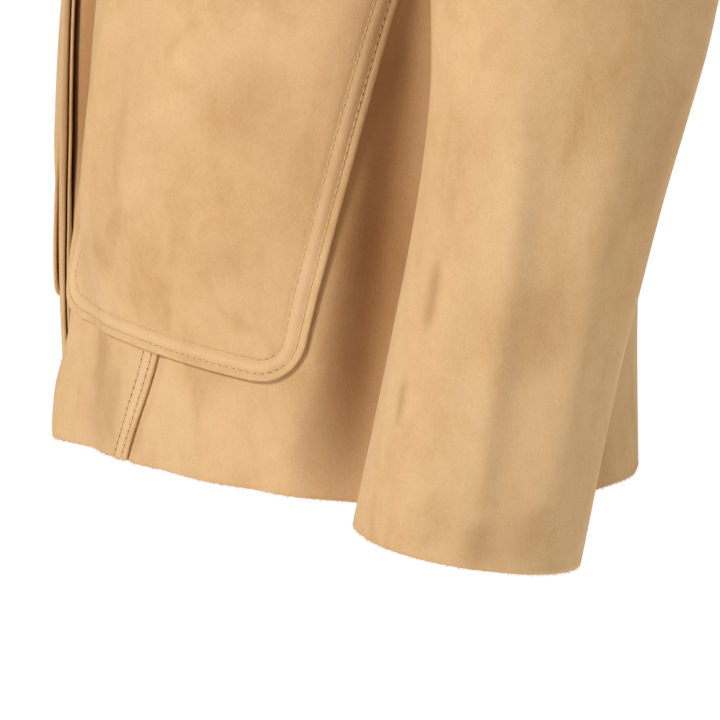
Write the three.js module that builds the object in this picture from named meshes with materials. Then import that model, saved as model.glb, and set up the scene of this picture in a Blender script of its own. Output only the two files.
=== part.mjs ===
import * as THREE from 'three';

// Millimetres, +Z up, +X the wearer's left, -Y the front. The jacket keeps its worn shape.
// The origin is the middle of the neck opening, level with the tops of the shoulder seams.

// Cloth
const wall = 1.7;               // thickness of the suede
const seamGap = 0.3;            // clear space left between two cut pieces
const lapGap = 0.5;             // clear space between two layers that lie on each other
const armholeGap = 0.6;         // the sleeve's first ring stands this far from the armhole
const facingGap = 0.9;          // the front edge's two layers stand this far apart

// Body sections from hem to shoulder tip, then in to the neck
const roundness = 2.25;         // 2 is an ellipse, more is squarer
const bodyLevels = [
  { height: -655, halfWidth: 193, front: 130.5, back: 139, centre: -30 },
  { height: -590, halfWidth: 190, front: 130.5, back: 137, centre: -29 },
  { height: -540, halfWidth: 188, front: 132, back: 136, centre: -28 },
  { height: -425, halfWidth: 183, front: 133.5, back: 134, centre: -24 },
  { height: -330, halfWidth: 177, front: 134, back: 127, centre: -16 },
  { height: -250, halfWidth: 184, front: 136, back: 121, centre: -8 },
  { height: -200, halfWidth: 182, front: 130, back: 118, centre: -3 },
  { height: -150, halfWidth: 186, front: 118, back: 113, centre: 4 },
  { height: -100, halfWidth: 192, front: 98, back: 102, centre: 12 },
  { height: -48, halfWidth: 200, front: 72, back: 78, centre: 18 },
  { height: -24, halfWidth: 137, front: 54, back: 58, centre: 20 },
  { height: 0, halfWidth: 76, front: 27, back: 28, centre: 20 },
];
const hemHeight = -640;
const hemRise = 10;             // the hem is this much higher at the centre front
const neckHalfWidth = 76;
const neckDropFront = 83;
const neckDropBack = 15;
const shoulderTipHeight = -48;
const underarmHeight = -230;

// Ridge that the closed fronts push out along the lapped edge
const ridge = { height: 9, across: 17, reach: 34, softness: 5, fadeLow: -300, fadeHigh: -180 };

// Front edges: the right front laps over the left one and they part near the hem
const lapWidth = 17;            // each front passes the centre by this much
const partTop = -480;           // the fronts begin to part here
const partLow = -620;
const partClear = { from: -570, to: -612 };     // below this they no longer lie on each other
const rightDip = 4;             // the right front's edge turns in by this at the hem
const rightSettle = { depth: 5, from: 26, to: 54, endFrom: 120, endTo: 175 };   // beside its lap
const hemPass = { left: 5, right: -22 };        // how far each passes the centre at the hem
const frontsGap = 1;              // clear space between the two fronts where they lap
const lapDrop = 2 * wall + facingGap + frontsGap;  // the left front lies this far under
const lapBlend = { from: 17, to: 72 };          // distance from the centre where it comes up
const kick = { height: 7, from: -565, to: -630, reach: 36 };
const facingThinner = 0.2;
const pocketSeat = 1.1;         // clear space under a pocket's sewn edge

// Panel seam of each front, as cloth distance from the centre front
const panelSeam = [
  { height: -655, distance: 70 },
  { height: -624, distance: 84 },
  { height: -575, distance: 108 },
  { height: -500, distance: 131 },
  { height: -410, distance: 148 },
  { height: -300, distance: 165 },
  { height: -200, distance: 172 },
];
const lapUnder = 12;            // the side panel goes this far under the centre panel
const lapUnderDegrees = 8.5;    // the same width along the armhole
const lapEase = 10;             // and comes level over this distance
const seamJoin = -330;          // the seam bends to the armhole above this height

// Armhole: an egg in the side view, its degrees counted from the shoulder tip round the front
const armholeHalfWidth = 62;
const armholeStep = 15;
const seamAtArmhole = 75;

// Sleeve sections from upper arm to cuff; tilts lower the outer side and the back
const sleeveLevels = [
  { height: -250, across: 234, back: 20, halfAcross: 45, halfBack: 63, tiltOut: -9, tiltBack: -3 },
  { height: -325, across: 246, back: 26, halfAcross: 46, halfBack: 66, tiltOut: -5, tiltBack: 0 },
  { height: -405, across: 256, back: 11, halfAcross: 46, halfBack: 63, tiltOut: 0, tiltBack: 5 },
  { height: -452, across: 257, back: 4, halfAcross: 45, halfBack: 57, tiltOut: 2, tiltBack: 8 },
  { height: -500, across: 255, back: -5, halfAcross: 44, halfBack: 53, tiltOut: 3, tiltBack: 8.6 },
  { height: -567, across: 251.5, back: -19, halfAcross: 43, halfBack: 51, tiltOut: 5, tiltBack: 8.6 },
  { height: -646, across: 246, back: -34.4, halfAcross: 44, halfBack: 50.7, tiltOut: 6.5, tiltBack: 8.6 },
];
const capRows = 5;
const armRows = 11;
const sleeveSeam = 120;         // armhole degrees of the sleeve's two seams, front and back
const sleeveRoundness = 2.15;
const capPull = 0.85;           // how strongly the sleeve head keeps its starting direction

// Patch pockets, in pocket millimetres across and up, tilted on the front
const pocket = {
  width: 184, height: 192, corner: 22, columns: 12, rows: 10,
  firstDistance: { left: 8, right: 24 }, firstHeight: -568.5, slopeAcross: -0.096,
  leanUp: 0.21, riseUp: 0.975, bow: 1.8, bulge: { left: 14, right: 3 }, bulgeFoot: 45, edgeFlat: 4,
};

// Buttons on the lapped edge
const button = { radius: 10, thickness: 3.4, firstHeight: -105, spacing: 96.5, count: 4, sides: 16 };

const bodyRows = 14;            // rows below the underarm
const armholeShare = 0.5;
const rowCrowding = 1.3;        // above 1 the rows lie closer near the hem
const neckColumns = 5;
const shoulderColumns = 5;
const degree = Math.PI / 180;
const quarter = 90 * degree;
const turnStep = 0.5 * degree;

const tan = new THREE.MeshStandardMaterial({ color: 0xd2a86e, roughness: 0.95 });
const horn = new THREE.MeshStandardMaterial({ color: 0x6b4a2e, roughness: 0.45 });
const group = new THREE.Group();

const mix = (a, b, t) => a + (b - a) * t;
const clamp = (v, low, high) => Math.min(Math.max(v, low), high);
const soft = (from, to, v) => {
  const t = clamp((v - from) / (to - from), 0, 1);
  return t * t * (3 - 2 * t);
};
const signedPower = (v, p) => Math.sign(v) * Math.abs(v) ** p;

// Smooth curve through one column of a table, by height
function column(table, key, height) {
  const rising = table[0].height < table[1].height;
  const rows = rising ? table : [...table].reverse();
  const last = rows.length - 1;
  let i = 0;
  while (i < last - 1 && height > rows[i + 1].height) i += 1;
  const slope = (k) => {
    const a = rows[Math.max(k - 1, 0)];
    const b = rows[Math.min(k + 1, last)];
    return (b[key] - a[key]) / (b.height - a.height);
  };
  const span = rows[i + 1].height - rows[i].height;
  const t = clamp((height - rows[i].height) / span, 0, 1);
  const t2 = t * t;
  const t3 = t2 * t;
  return rows[i][key] * (2 * t3 - 3 * t2 + 1) + slope(i) * span * (t3 - 2 * t2 + t)
    + rows[i + 1][key] * (3 * t2 - 2 * t3) + slope(i + 1) * span * (t3 - t2);
}

const section = (height) => ({
  halfWidth: column(bodyLevels, 'halfWidth', height),
  front: column(bodyLevels, 'front', height),
  back: column(bodyLevels, 'back', height),
  centre: column(bodyLevels, 'centre', height),
});

// Point of the plain torso: turn 0 is the centre front, plus goes to the wearer's left
function bare(turn, height) {
  const s = section(height);
  const depth = Math.cos(turn) > 0 ? s.front : s.back;
  return new THREE.Vector3(
    s.halfWidth * signedPower(Math.sin(turn), 2 / roundness),
    s.centre - depth * signedPower(Math.cos(turn), 2 / roundness),
    height,
  );
}

const turnAtWidth = (across, height) => {
  const share = clamp(across / section(height).halfWidth, -1, 1);
  return Math.asin(signedPower(share, roundness / 2));
};

// Cloth distance round a section from the centre front, or back, to a turn on that half
function distanceTo(turn, height, fromBack) {
  const start = fromBack ? Math.PI : 0;
  const own = Math.abs(turn);
  const steps = Math.max(Math.ceil(Math.abs(own - start) / turnStep), 1);
  let gone = 0;
  let last = bare(start, height);
  for (let k = 1; k <= steps; k += 1) {
    const next = bare(mix(start, own, k / steps), height);
    gone += next.distanceTo(last);
    last = next;
  }
  return turn < 0 ? -gone : gone;
}

// Turn reached after such a distance, to the wearer's left; a minus distance goes right
function turnAfter(distance, height, fromBack) {
  const start = fromBack ? Math.PI : 0;
  const step = fromBack ? -turnStep : turnStep;
  const goal = Math.abs(distance);
  let turn = start;
  let gone = 0;
  let last = bare(start, height);
  while (gone < goal && Math.abs(turn - start) < quarter) {
    const next = bare(turn + step, height);
    const length = next.distanceTo(last);
    if (gone + length >= goal) {
      turn += step * (goal - gone) / length;
      gone = goal;
    } else {
      gone += length;
      turn += step;
    }
    last = next;
  }
  const reached = clamp(Math.abs(turn - start), 0, quarter);
  const own = fromBack ? Math.PI - reached : reached;
  return distance < 0 ? -own : own;
}

// The worn cloth: the torso with the ridge of the closed front
function worn(turn, height) {
  const point = bare(turn, height);
  if (Math.cos(turn) > 0) {
    const away = Math.hypot(point.x - ridge.across, ridge.softness) - ridge.softness;
    const fade = 1 - soft(ridge.fadeLow, ridge.fadeHigh, height);
    point.y -= ridge.height * fade * Math.exp(-away / ridge.reach);
  }
  return point;
}

function wornNormal(turn, height) {
  const step = 0.01;
  const low = Math.min(height, -1);
  const alongTurn = worn(turn + step, low).sub(worn(turn - step, low));
  const alongHeight = worn(turn, low + 1).sub(worn(turn, low - 1));
  return alongTurn.cross(alongHeight).normalize();
}

const placed = (turn, height, offset) => {
  const normal = wornNormal(turn, height);
  return { point: worn(turn, height).addScaledVector(normal, offset), normal };
};

// The left front lies under the right one, comes up beside it and kicks out at the hem
const parted = (height) => soft(-partClear.from, -partClear.to, -height);
function leftOffset(across, height) {
  const under = lapDrop * (1 - soft(lapBlend.from, lapBlend.to, across));
  const kicked = kick.height * soft(-kick.from, -kick.to, -height);
  const nearEdge = Math.exp(-Math.max(across + lapWidth, 0) / kick.reach);
  return -under * (1 - parted(height)) + kicked * nearEdge;
}

function rightOffset(across, height) {
  const nearEdge = Math.exp(-Math.max(lapWidth - across, 0) / kick.reach);
  const settled = soft(rightSettle.from, rightSettle.to, -across)
    * (1 - soft(rightSettle.endFrom, rightSettle.endTo, -across));
  return -rightDip * parted(height) * nearEdge - rightSettle.depth * settled;
}

// Closed wall from a grid of outer points, a thickness inward, joined round its edge
function clothWall(name, grid, thickness, material) {
  const rows = grid.length;
  const cols = grid[0].length;
  const eased = grid.map((row, i) => row.map((spot, j) => {
    const point = spot.point.clone();
    const inRow = clamp(i, 1, rows - 2);
    const inCol = clamp(j, 1, cols - 2);
    if (inRow !== i) point.add(pullTo(spot.point, grid[inRow][j].point));
    if (inCol !== j) point.add(pullTo(spot.point, grid[i][inCol].point));
    return point;
  }));
  const positions = [];
  for (const depth of [0, thickness]) {
    for (let i = 0; i < rows; i += 1) {
      for (let j = 0; j < cols; j += 1) {
        const p = eased[i][j].clone().addScaledVector(grid[i][j].normal, -depth);
        positions.push(p.x, p.y, p.z);
      }
    }
  }
  const inner = rows * cols;
  const middle = [rows >> 1, cols >> 1];
  const here = eased[middle[0]][middle[1]];
  const faceNormal = eased[middle[0]][middle[1] - 1].clone().sub(here)
    .cross(eased[middle[0] - 1][middle[1]].clone().sub(here));
  const flip = faceNormal.dot(grid[middle[0]][middle[1]].normal) < 0;
  const faces = [];
  const quad = (a, b, c, d) => {
    if (flip) faces.push(a, c, b, a, d, c);
    else faces.push(a, b, c, a, c, d);
  };
  const at = (i, j) => i * cols + j;
  for (let i = 0; i < rows - 1; i += 1) {
    for (let j = 0; j < cols - 1; j += 1) {
      quad(at(i, j), at(i, j + 1), at(i + 1, j + 1), at(i + 1, j));
      quad(inner + at(i, j), inner + at(i + 1, j), inner + at(i + 1, j + 1), inner + at(i, j + 1));
    }
  }
  const edge = [];
  for (let j = 0; j < cols - 1; j += 1) edge.push(at(0, j));
  for (let i = 0; i < rows - 1; i += 1) edge.push(at(i, cols - 1));
  for (let j = cols - 1; j > 0; j -= 1) edge.push(at(rows - 1, j));
  for (let i = rows - 1; i > 0; i -= 1) edge.push(at(i, 0));
  edge.forEach((a, k) => {
    const b = edge[(k + 1) % edge.length];
    quad(b, a, inner + a, inner + b);
  });
  const geometry = new THREE.BufferGeometry();
  geometry.setAttribute('position', new THREE.Float32BufferAttribute(positions, 3));
  geometry.setIndex(faces);
  geometry.computeVertexNormals();
  const mesh = new THREE.Mesh(geometry, material);
  mesh.name = name;
  group.add(mesh);
}

const pullTo = (from, to) => to.clone().sub(from).setLength(seamGap / 2);

// How far along a border line each of its rows lies, as a share of its length
// Rows on the armhole count less, so that the rows slope down to the underarm
function lengthShares(line, rows) {
  const gone = [0];
  for (let i = 1; i <= rows; i += 1) {
    const a = line(i - 1);
    const b = line(i);
    const length = bare(a.turn, a.height).distanceTo(bare(b.turn, b.height));
    gone.push(gone[i - 1] + length * (i > bodyRows ? armholeShare : 1));
  }
  return gone.map((length) => length / gone[rows]);
}

// Grid of a panel between four border lines, filled in the flat: cloth distance and height
function panelGrid(cols, rows, border, side, fromBack, offsetAt) {
  const flat = (spot) => ({
    distance: distanceTo(spot.turn, spot.height, fromBack), height: spot.height });
  const shares = lengthShares(border.end, rows);
  const low = [];
  const high = [];
  for (let j = 0; j <= cols; j += 1) {
    low.push(flat(border.low(j)));
    high.push(flat(border.high(j)));
  }
  const grid = [];
  for (let i = 0; i <= rows; i += 1) {
    const t = shares[i];
    const start = flat(border.start(i, t));
    const end = flat(border.end(i));
    const row = [];
    for (let j = 0; j <= cols; j += 1) {
      const s = j / cols;
      const fill = (key) => mix(start[key], end[key], s) + mix(low[j][key], high[j][key], t)
        - mix(mix(low[0][key], low[cols][key], s), mix(high[0][key], high[cols][key], s), t);
      const exact = i === 0 ? border.low(j) : i === rows ? border.high(j)
        : j === 0 ? border.start(i, t) : j === cols ? border.end(i) : null;
      const height = exact ? exact.height : fill('height');
      const turn = side * (exact ? exact.turn : turnAfter(fill('distance'), height, fromBack));
      row.push(placed(turn, height, offsetAt(turn, height)));
    }
    grid.push(row);
  }
  return grid;
}

// Border lines of the body, on the wearer's left
const hemAt = (turn) => hemHeight + hemRise * Math.max(Math.cos(turn), 0) ** (4 / roundness);
const hemSpot = (turn) => ({ turn, height: hemAt(turn) });
const shoulderSpot = (share) => ({ turn: quarter, height: shoulderTipHeight * share });
const rowShare = (row) => (row / bodyRows) ** rowCrowding;
const sideHeight = (row) => mix(hemHeight, underarmHeight, rowShare(row));

function neckSpot(degrees, drop) {
  const height = -drop * Math.cos(degrees * degree);
  const turn = turnAtWidth(neckHalfWidth * Math.sin(degrees * degree), height);
  return { turn: drop === neckDropBack ? Math.PI - turn : turn, height };
}

function armholeSpot(degrees) {
  const middle = (shoulderTipHeight + underarmHeight) / 2;
  const height = middle + (shoulderTipHeight - middle) * Math.cos(degrees * degree);
  const s = section(height);
  const forward = armholeHalfWidth * Math.sin(degrees * degree);
  const share = forward / (forward > 0 ? s.front : s.back);
  return { turn: Math.acos(signedPower(share, roundness / 2)), height };
}

// Panel seam from the hem to the armhole, moved sideways by a cloth distance
const seamTop = armholeSpot(seamAtArmhole);
function seamSpot(row, shift) {
  const height = mix(hemHeight, seamTop.height, rowShare(row));
  const free = turnAfter(column(panelSeam, 'distance', height) + shift, height, false);
  const meet = seamTop.turn + shift / section(height).halfWidth;
  const turn = mix(free, meet, soft(seamJoin, seamTop.height, height));
  return { turn, height: row === 0 ? hemAt(turn) : height };
}

// Front edge of a front, on its own side: it passes the centre by the lap, less near the hem
const edgeAcross = (front, height) => (
  -mix(lapWidth, front.hemPass, soft(-partTop, -partLow, -height)));
function frontEdge(front, share) {
  const hem = hemAt(turnAtWidth(-front.hemPass, hemHeight));
  const neck = -neckDropFront * Math.sqrt(1 - (lapWidth / neckHalfWidth) ** 2);
  const height = mix(hem, neck, share);
  return { turn: turnAtWidth(edgeAcross(front, height), height), height };
}

const fronts = [
  { word: 'left', side: 1, hemPass: hemPass.left, offset: leftOffset },
  { word: 'right', side: -1, hemPass: hemPass.right, offset: rightOffset },
];
const offsetOn = (front) => (turn, height) => front.offset(bare(turn, height).x, height);

// Centre panel of a front: edge, neckline, shoulder, upper armhole, panel seam, hem
function frontCentre(front) {
  const rows = bodyRows + seamAtArmhole / armholeStep;
  const cols = neckColumns + shoulderColumns;
  const firstNeck = -Math.asin(lapWidth / neckHalfWidth) / degree;
  const start = (i, share) => frontEdge(front, share);
  const end = (i) => (i > bodyRows
    ? armholeSpot(seamAtArmhole - (i - bodyRows) * armholeStep) : seamSpot(i, 0));
  const high = (j) => (j <= neckColumns
    ? neckSpot(mix(firstNeck, 90, j / neckColumns), neckDropFront)
    : shoulderSpot((j - neckColumns) / shoulderColumns));
  const low = (j) => hemSpot(mix(start(0, 0).turn, seamSpot(0, 0).turn, j / cols));
  const border = { start, end, low, high };
  const grid = panelGrid(cols, rows, border, front.side, false, offsetOn(front));
  clothWall(`front_${front.word}_centre`, grid, wall, tan);
  return grid;
}

// Side panel of a front: its first columns run under the centre panel, its top is the armhole
function frontSide(front) {
  const lapColumns = [
    { shift: -lapUnder, armhole: seamAtArmhole - lapUnderDegrees, below: wall + lapGap },
    { shift: 1, armhole: seamAtArmhole + 1, below: wall + lapGap },
    { shift: lapEase, armhole: seamAtArmhole + armholeStep / 2, below: 0 },
  ];
  const plain = (180 - seamAtArmhole) / armholeStep - 1;
  const grid = [];
  for (let i = 0; i <= bodyRows; i += 1) {
    const row = [];
    const meet = (i / bodyRows) ** 4;
    const spotAt = (shift, share, line) => {
      const seam = seamSpot(line, shift);
      const turn = mix(seam.turn, quarter, share);
      return { turn, height: line === 0 ? hemAt(turn) : mix(seam.height, sideHeight(line), share) };
    };
    const add = (shift, share, armhole, below) => {
      const here = spotAt(shift, share, i);
      const top = spotAt(shift, share, bodyRows);
      const goal = armholeSpot(armhole);
      const turn = front.side * (here.turn + meet * (goal.turn - top.turn));
      const height = here.height + meet * (goal.height - top.height);
      row.push(placed(turn, height, front.offset(bare(turn, height).x, height) - below));
    };
    lapColumns.forEach((lap) => add(lap.shift, 0, lap.armhole, lap.below));
    for (let j = 0; j <= plain; j += 1) {
      add(lapEase, (j + 1) / (plain + 1), seamAtArmhole + (j + 1) * armholeStep, 0);
    }
    grid.push(row);
  }
  clothWall(`front_${front.word}_side`, grid, wall, tan);
}

// Second layer behind a front edge, as wide as the neckline's columns
function frontFacing(front, panel) {
  const grid = panel.map((row) => row.slice(0, neckColumns + 1).map((spot) => ({
    point: spot.point.clone().addScaledVector(spot.normal, -(wall + facingGap)),
    normal: spot.normal,
  })));
  clothWall(`facing_${front.word}`, grid, wall - facingThinner, tan);
}

// Back in one piece, side seam to side seam
function backPanel() {
  const armRows = 180 / armholeStep;
  const rows = bodyRows + armRows;
  const cols = 2 * (neckColumns + shoulderColumns);
  const end = (i) => (i <= bodyRows
    ? { turn: quarter, height: sideHeight(i) }
    : armholeSpot(180 + (i - bodyRows) * armholeStep));
  const flipped = (spot) => ({ turn: -spot.turn, height: spot.height });
  const halfHigh = (k) => (k <= neckColumns
    ? neckSpot(90 * k / neckColumns, neckDropBack)
    : shoulderSpot((k - neckColumns) / shoulderColumns));
  const start = (i) => flipped(end(i));
  const high = (j) => (j < cols / 2 ? flipped(halfHigh(cols / 2 - j)) : halfHigh(j - cols / 2));
  const halfLow = (k) => hemSpot(Math.PI - quarter * k * 2 / cols);
  const low = (j) => (j < cols / 2 ? flipped(halfLow(cols / 2 - j)) : halfLow(j - cols / 2));
  const border = { start, end, low, high };
  clothWall('back', panelGrid(cols, rows, border, 1, true, () => 0), wall, tan);
}

// Sleeve section at a height, by armhole degrees: 0 outward, 90 forward
function sleeveRing(degrees, height) {
  const value = (key) => column(sleeveLevels, key, height);
  const out = signedPower(Math.cos(degrees * degree), 2 / sleeveRoundness) * value('halfAcross');
  const back = -signedPower(Math.sin(degrees * degree), 2 / sleeveRoundness) * value('halfBack');
  const drop = out * Math.tan(value('tiltOut') * degree) + back * Math.tan(value('tiltBack') * degree);
  return new THREE.Vector3(value('across') + out, value('back') + back, height - drop);
}

// Sleeve surface: the head runs from the armhole to the first section, then down the sections
function sleevePoint(degrees, row) {
  const top = sleeveLevels[0].height;
  const cuff = sleeveLevels[sleeveLevels.length - 1].height;
  if (row >= capRows) return sleeveRing(degrees, mix(top, cuff, (row - capRows) / armRows));
  const spot = armholeSpot(degrees);
  const low = (1 - Math.cos(degrees * degree)) / 2;
  const leave = new THREE.Vector3(
    mix(0.94, 0.3, low), -0.25 * Math.sin(degrees * degree), -mix(0.34, 0.95, low)).normalize();
  const from = bare(spot.turn, spot.height)
    .addScaledVector(wornNormal(spot.turn, spot.height), armholeGap)
    .addScaledVector(leave, armholeGap);
  const to = sleeveRing(degrees, top);
  const arrive = to.clone().sub(sleeveRing(degrees, top + 4)).normalize();
  const pull = from.distanceTo(to) * capPull;
  const t = row / capRows;
  return from.multiplyScalar(2 * t ** 3 - 3 * t ** 2 + 1)
    .addScaledVector(leave, pull * (t ** 3 - 2 * t ** 2 + t))
    .addScaledVector(to, 3 * t ** 2 - 2 * t ** 3)
    .addScaledVector(arrive, pull * (t ** 3 - t ** 2));
}

function sleevePiece(name, side, fromDegrees, toDegrees) {
  const cols = (toDegrees - fromDegrees) / armholeStep;
  const grid = [];
  for (let i = 0; i <= capRows + armRows; i += 1) {
    const row = [];
    for (let j = 0; j <= cols; j += 1) {
      const degrees = fromDegrees + j * armholeStep;
      const point = sleevePoint(degrees, i);
      const around = sleevePoint(degrees + 2, i).sub(sleevePoint(degrees - 2, i));
      const along = sleevePoint(degrees, i + 0.02).sub(sleevePoint(degrees, Math.max(i - 0.02, 0)));
      const normal = around.cross(along).normalize();
      if (side < 0) {
        point.x = -point.x;
        normal.x = -normal.x;
      }
      row.push({ point, normal });
    }
    grid.push(row);
  }
  clothWall(name, grid, wall, tan);
}

// Patch pocket laid over both panels of a front, with its bulge; open along the top
function patchPocket(front) {
  const grid = [];
  for (let i = 0; i <= pocket.rows; i += 1) {
    const row = [];
    const up = pocket.height * (i / pocket.rows) ** 1.3;
    const round = Math.max(pocket.corner - up, 0);
    const inset = pocket.corner - Math.sqrt(pocket.corner ** 2 - round ** 2);
    for (let j = 0; j <= pocket.columns; j += 1) {
      const share = (1 - Math.cos(Math.PI * j / pocket.columns)) / 2;
      const across = mix(inset, pocket.width - inset, mix(j / pocket.columns, share, 0.5));
      const distance = pocket.firstDistance[front.word] + across + pocket.leanUp * up;
      const height = pocket.firstHeight + pocket.slopeAcross * across + pocket.riseUp * up
        + pocket.bow * Math.sin(Math.PI * across / pocket.width);
      const sideShape = soft(pocket.edgeFlat, pocket.width / 2, across)
        * soft(pocket.edgeFlat, pocket.width / 2, pocket.width - across);
      const rise = pocket.bulge[front.word] * Math.sqrt(sideShape)
        * soft(pocket.edgeFlat, pocket.bulgeFoot, up);
      const turn = front.side * turnAfter(distance, height, false);
      const on = front.offset(bare(turn, height).x, height);
      row.push(placed(turn, height, on + pocketSeat + wall + rise));
    }
    grid.push(row);
  }
  clothWall(`pocket_${front.word}`, grid, wall, tan);
}

// Plain round button on the right front, on the centre line
function buttonAt(index) {
  const r = button.radius;
  const t = button.thickness;
  const profile = [
    [0, 0], [0.45 * r, 0], [0.5 * r, 0.2 * t], [0.94 * r, 0.3 * t], [r, 0.5 * t],
    [r, 0.85 * t], [0.93 * r, t], [0.72 * r, t], [0.62 * r, 0.84 * t], [0, 0.84 * t],
  ].map(([x, y]) => new THREE.Vector2(x, y));
  const geometry = new THREE.LatheGeometry(profile, button.sides);
  const height = button.firstHeight - button.spacing * index;
  const seat = placed(0, height, lapGap);
  geometry.applyQuaternion(new THREE.Quaternion().setFromUnitVectors(
    new THREE.Vector3(0, 1, 0), seat.normal));
  geometry.translate(seat.point.x, seat.point.y, seat.point.z);
  const mesh = new THREE.Mesh(geometry, horn);
  mesh.name = `button_${index + 1}`;
  group.add(mesh);
}

for (const front of fronts) {
  const panel = frontCentre(front);
  frontSide(front);
  frontFacing(front, panel);
  patchPocket(front);
  sleevePiece(`sleeve_${front.word}_top`, front.side, -sleeveSeam, sleeveSeam);
  sleevePiece(`sleeve_${front.word}_under`, front.side, sleeveSeam, 360 - sleeveSeam);
}
backPanel();
for (let index = 0; index < button.count; index += 1) buttonAt(index);

export default group;
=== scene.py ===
import bpy
import numpy as np
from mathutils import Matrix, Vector


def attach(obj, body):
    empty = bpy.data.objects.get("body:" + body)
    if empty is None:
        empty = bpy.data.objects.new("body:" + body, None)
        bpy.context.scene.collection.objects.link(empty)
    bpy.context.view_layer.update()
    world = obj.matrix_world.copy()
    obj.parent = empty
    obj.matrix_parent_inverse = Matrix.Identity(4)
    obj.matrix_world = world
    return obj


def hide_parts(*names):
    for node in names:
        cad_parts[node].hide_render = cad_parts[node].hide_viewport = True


# A worn suede jacket, rebuilt as thin cloth over the solids of the frame.
# Shapes are worked out in millimetres, x to the wearer's left, y to the back, z up,
# and each mesh is made in metres.

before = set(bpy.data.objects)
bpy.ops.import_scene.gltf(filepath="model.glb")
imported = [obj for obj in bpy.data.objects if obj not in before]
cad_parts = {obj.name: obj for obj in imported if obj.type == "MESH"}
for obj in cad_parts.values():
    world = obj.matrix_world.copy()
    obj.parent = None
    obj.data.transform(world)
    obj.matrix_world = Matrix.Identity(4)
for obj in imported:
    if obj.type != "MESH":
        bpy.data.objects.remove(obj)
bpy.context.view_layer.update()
fine = 1.0      # share of the full number of rows and columns

# Cloth and the worn form, the same values as the solids have
cloth = {
    "wall": 1.7, "facingWall": 1.5, "seamGap": 0.3, "lapGap": 0.5, "armholeGap": 0.6,
    "facingGap": 0.9, "frontsGap": 1.0, "pocketSeat": 1.1,
}
bodyForm = {
    "roundness": 2.25,
    # height, half width, depth in front, depth behind, centre
    "levels": [
        (-655, 193, 130.5, 139, -30), (-590, 190, 130.5, 137, -29), (-540, 188, 132, 136, -28),
        (-425, 183, 133.5, 134, -24), (-330, 177, 134, 127, -16), (-250, 184, 136, 121, -8),
        (-200, 182, 130, 118, -3), (-150, 186, 118, 113, 4), (-100, 192, 98, 102, 12),
        (-48, 200, 72, 78, 18), (-24, 137, 54, 58, 20), (0, 76, 27, 28, 20)],
    "hemHeight": -640, "hemRise": 10,
    "neckHalfWidth": 76, "neckDropFront": 83, "neckDropBack": 15,
    "shoulderTip": -48, "underarm": -230,
    "ridgeHeight": 9, "ridgeAcross": 17, "ridgeReach": 34, "ridgeSoftness": 5,
    "ridgeFadeLow": -300, "ridgeFadeHigh": -180,
}
frontForm = {
    "lapWidth": 17, "partTop": -480, "partLow": -620, "clearFrom": -570, "clearTo": -612,
    "rightDip": 4, "passLeft": 5, "passRight": -22, "blendFrom": 17, "blendTo": 72,
    "kick": 7, "kickFrom": -565, "kickTo": -630, "kickReach": 36,
    "valley": 7, "valleyAcross": 32, "valleyReach": 15, "valleyLow": -575, "valleyHigh": -525,
    "settle": 5, "settleFrom": 26, "settleTo": 54, "settleEndFrom": 120, "settleEndTo": 175,
    # height and cloth distance of the lapped panel seam from the centre front
    "seam": [(-655, 70), (-624, 84), (-575, 108), (-500, 131), (-410, 148), (-300, 165), (-200, 172)],
    "lapUnder": 12, "lapEase": 10, "lapUnderDegrees": 8.5, "seamJoin": -330, "seamAtArmhole": 75,
}
rowsForm = {"bodyRows": 14, "crowding": 1.3, "armholeShare": 0.5, "neckColumns": 5,
            "shoulderColumns": 5, "armholeStep": 15, "armholeHalfWidth": 62}
deg = np.pi / 180
quarter = np.pi / 2


def mix(a, b, t):
    return a + (b - a) * t


# Smooth step: 0 below low, 1 above high, 3t^2 - 2t^3 between
def eased(low, high, v):
    t = np.clip((v - low) / (high - low), 0, 1)
    return t * t * (3 - 2 * t)


def powered(v, p):
    return np.sign(v) * np.abs(v) ** p


# Unit vectors along the last axis
def unit(v):
    return v / np.maximum(np.linalg.norm(v, axis=-1, keepdims=True), 1e-12)


# Column of a table by height: a cubic through the rows whose slopes are the rows' own mean slopes
def column(table, index, height):
    rows = np.array(sorted(table), float)
    high, value = rows[:, 0], rows[:, index]
    last = len(rows) - 1
    k = np.arange(last + 1)
    a, b = np.maximum(k - 1, 0), np.minimum(k + 1, last)
    slope = (value[b] - value[a]) / (high[b] - high[a])
    height = np.asarray(height, float)
    i = np.clip(np.searchsorted(high, height) - 1, 0, last - 1)
    span = high[i + 1] - high[i]
    t = np.clip((height - high[i]) / span, 0, 1)
    return (value[i] * (2 * t**3 - 3 * t**2 + 1) + slope[i] * span * (t**3 - 2 * t**2 + t)
            + value[i + 1] * (3 * t**2 - 2 * t**3) + slope[i + 1] * span * (t**3 - t**2))


# Plain torso: x = half width * sin^(2/n), y = centre - depth * cos^(2/n), at turn from the centre front
def bare(turn, height):
    power = 2 / bodyForm["roundness"]
    half, front, back, centre = (column(bodyForm["levels"], k, height) for k in (1, 2, 3, 4))
    turn, height = np.broadcast_arrays(turn, height)
    depth = np.where(np.cos(turn) > 0, front, back)
    return np.stack([half * powered(np.sin(turn), power),
                     centre - depth * powered(np.cos(turn), power), height * 1.0], -1)


def turnAtWidth(across, height):
    share = np.clip(across / column(bodyForm["levels"], 1, height), -1, 1)
    return np.arcsin(powered(share, bodyForm["roundness"] / 2))


# Cloth distance round each section, front half and back half, on a grid of heights and turns
arcHeights = np.linspace(-660, 0, 221)
arcTurns = np.linspace(0, quarter, 181)


def arcTable(turns):
    line = bare(turns[None, :], arcHeights[:, None])
    steps = np.linalg.norm(np.diff(line, axis=1), axis=-1)
    return np.concatenate([np.zeros((len(arcHeights), 1)), np.cumsum(steps, 1)], 1)


arcs = {False: arcTable(arcTurns), True: arcTable(np.pi - arcTurns)}


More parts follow.
